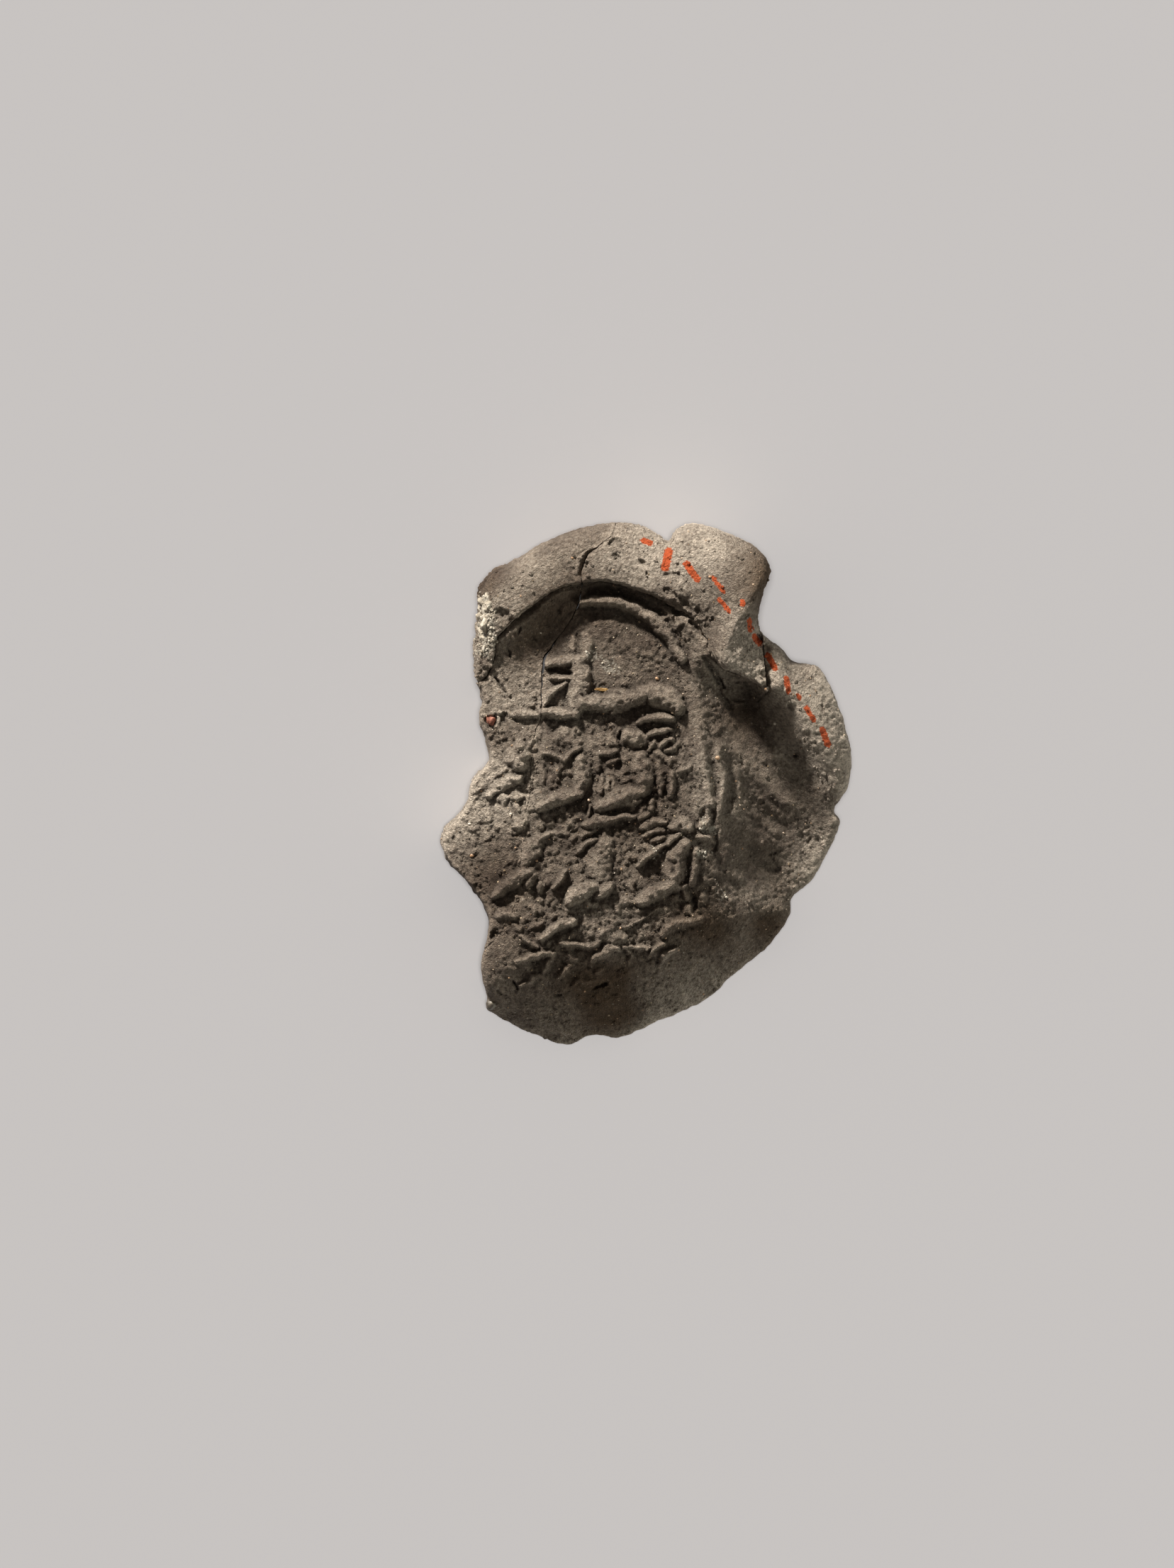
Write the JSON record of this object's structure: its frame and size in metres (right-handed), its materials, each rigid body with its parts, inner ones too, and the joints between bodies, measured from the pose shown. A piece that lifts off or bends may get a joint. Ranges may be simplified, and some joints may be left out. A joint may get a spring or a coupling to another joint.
{
  "type": "clay bulla",
  "caption": "Broken clay sealing with a raised curled rim, an oval seal print of a lying jackal over rows of kneeling figures, a finger hollow beside it and a flat back.",
  "frame": {"origin": "centre of the footprint on the surface it lies on, with the flat back down", "axes": "+X to the right of the seal's face, +Y to its top, +Z out of the face"},
  "size_m": [0.0344, 0.044, 0.013],
  "materials": {
    "grey_clay": "matte, dry, grainy",
    "pale_clay": "matte, dry, dusty",
    "lime": "matte, powdery",
    "red_grit": "matte",
    "straw": "satin",
    "pale_grit": "satin"
  },
  "bodies": {
    "root": {"seal_pad": "grey_clay", "left_fragment": "grey_clay", "rim_roll_left": "pale_clay", "rim_roll_right": "pale_clay", "lime_crust": "lime", "red_grain": "red_grit", "straw_sliver": "straw", "edge_pebble": "pale_grit"}
  },
  "joints": []
}
